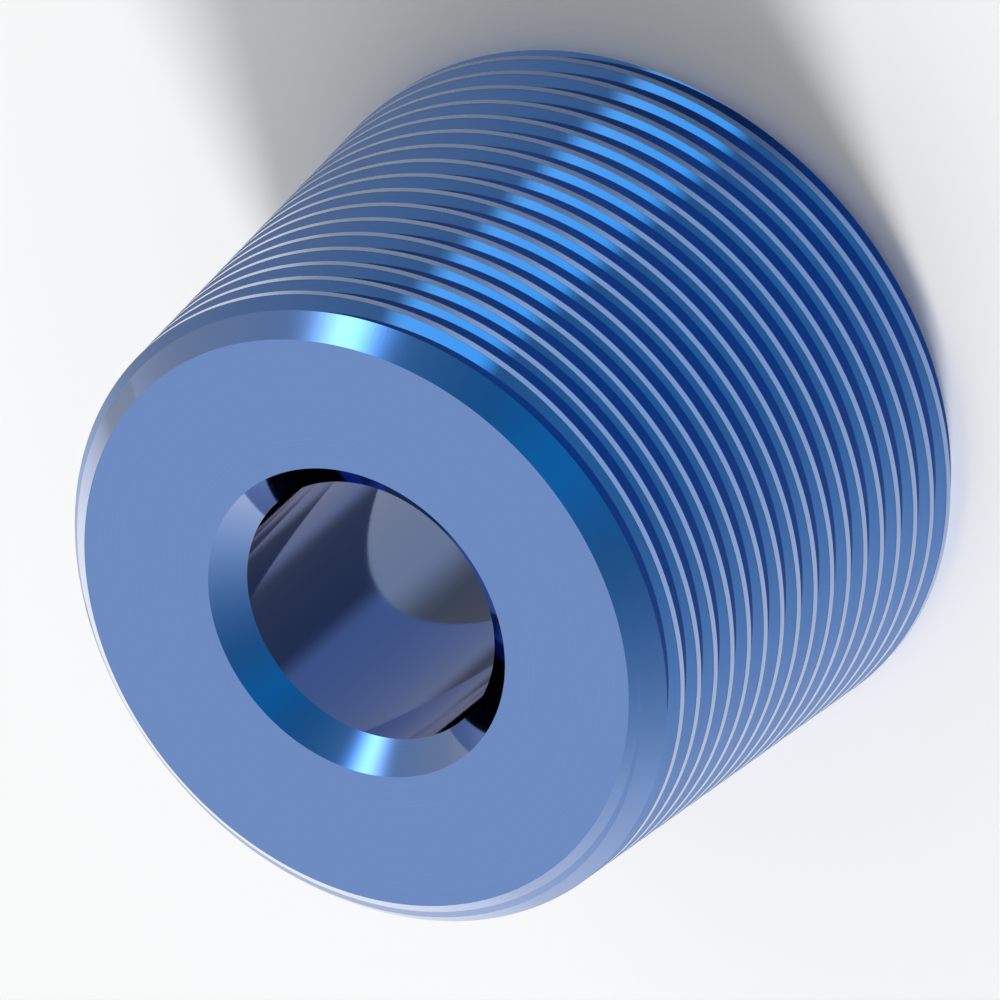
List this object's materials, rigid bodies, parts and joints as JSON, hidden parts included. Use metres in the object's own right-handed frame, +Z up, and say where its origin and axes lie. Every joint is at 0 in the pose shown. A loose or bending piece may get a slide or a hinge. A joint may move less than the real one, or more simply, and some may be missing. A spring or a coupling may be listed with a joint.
{
  "type": "threaded taper bushing",
  "caption": "Short hollow bushing with a fine V thread on a tapered outside, a plain bore right through it and chamfered ends.",
  "frame": {"origin": "centre of the large end face, on the bore's axis, where the bushing stands", "axes": "+Z up the axis, from the large end to the small end; +X and +Y are free on a turned part"},
  "size_m": [0.0263, 0.0264, 0.02],
  "materials": {
    "body": "turned, polished and anodised a deep clear blue"
  },
  "bodies": {
    "root": {"bushing": "body"}
  },
  "joints": []
}
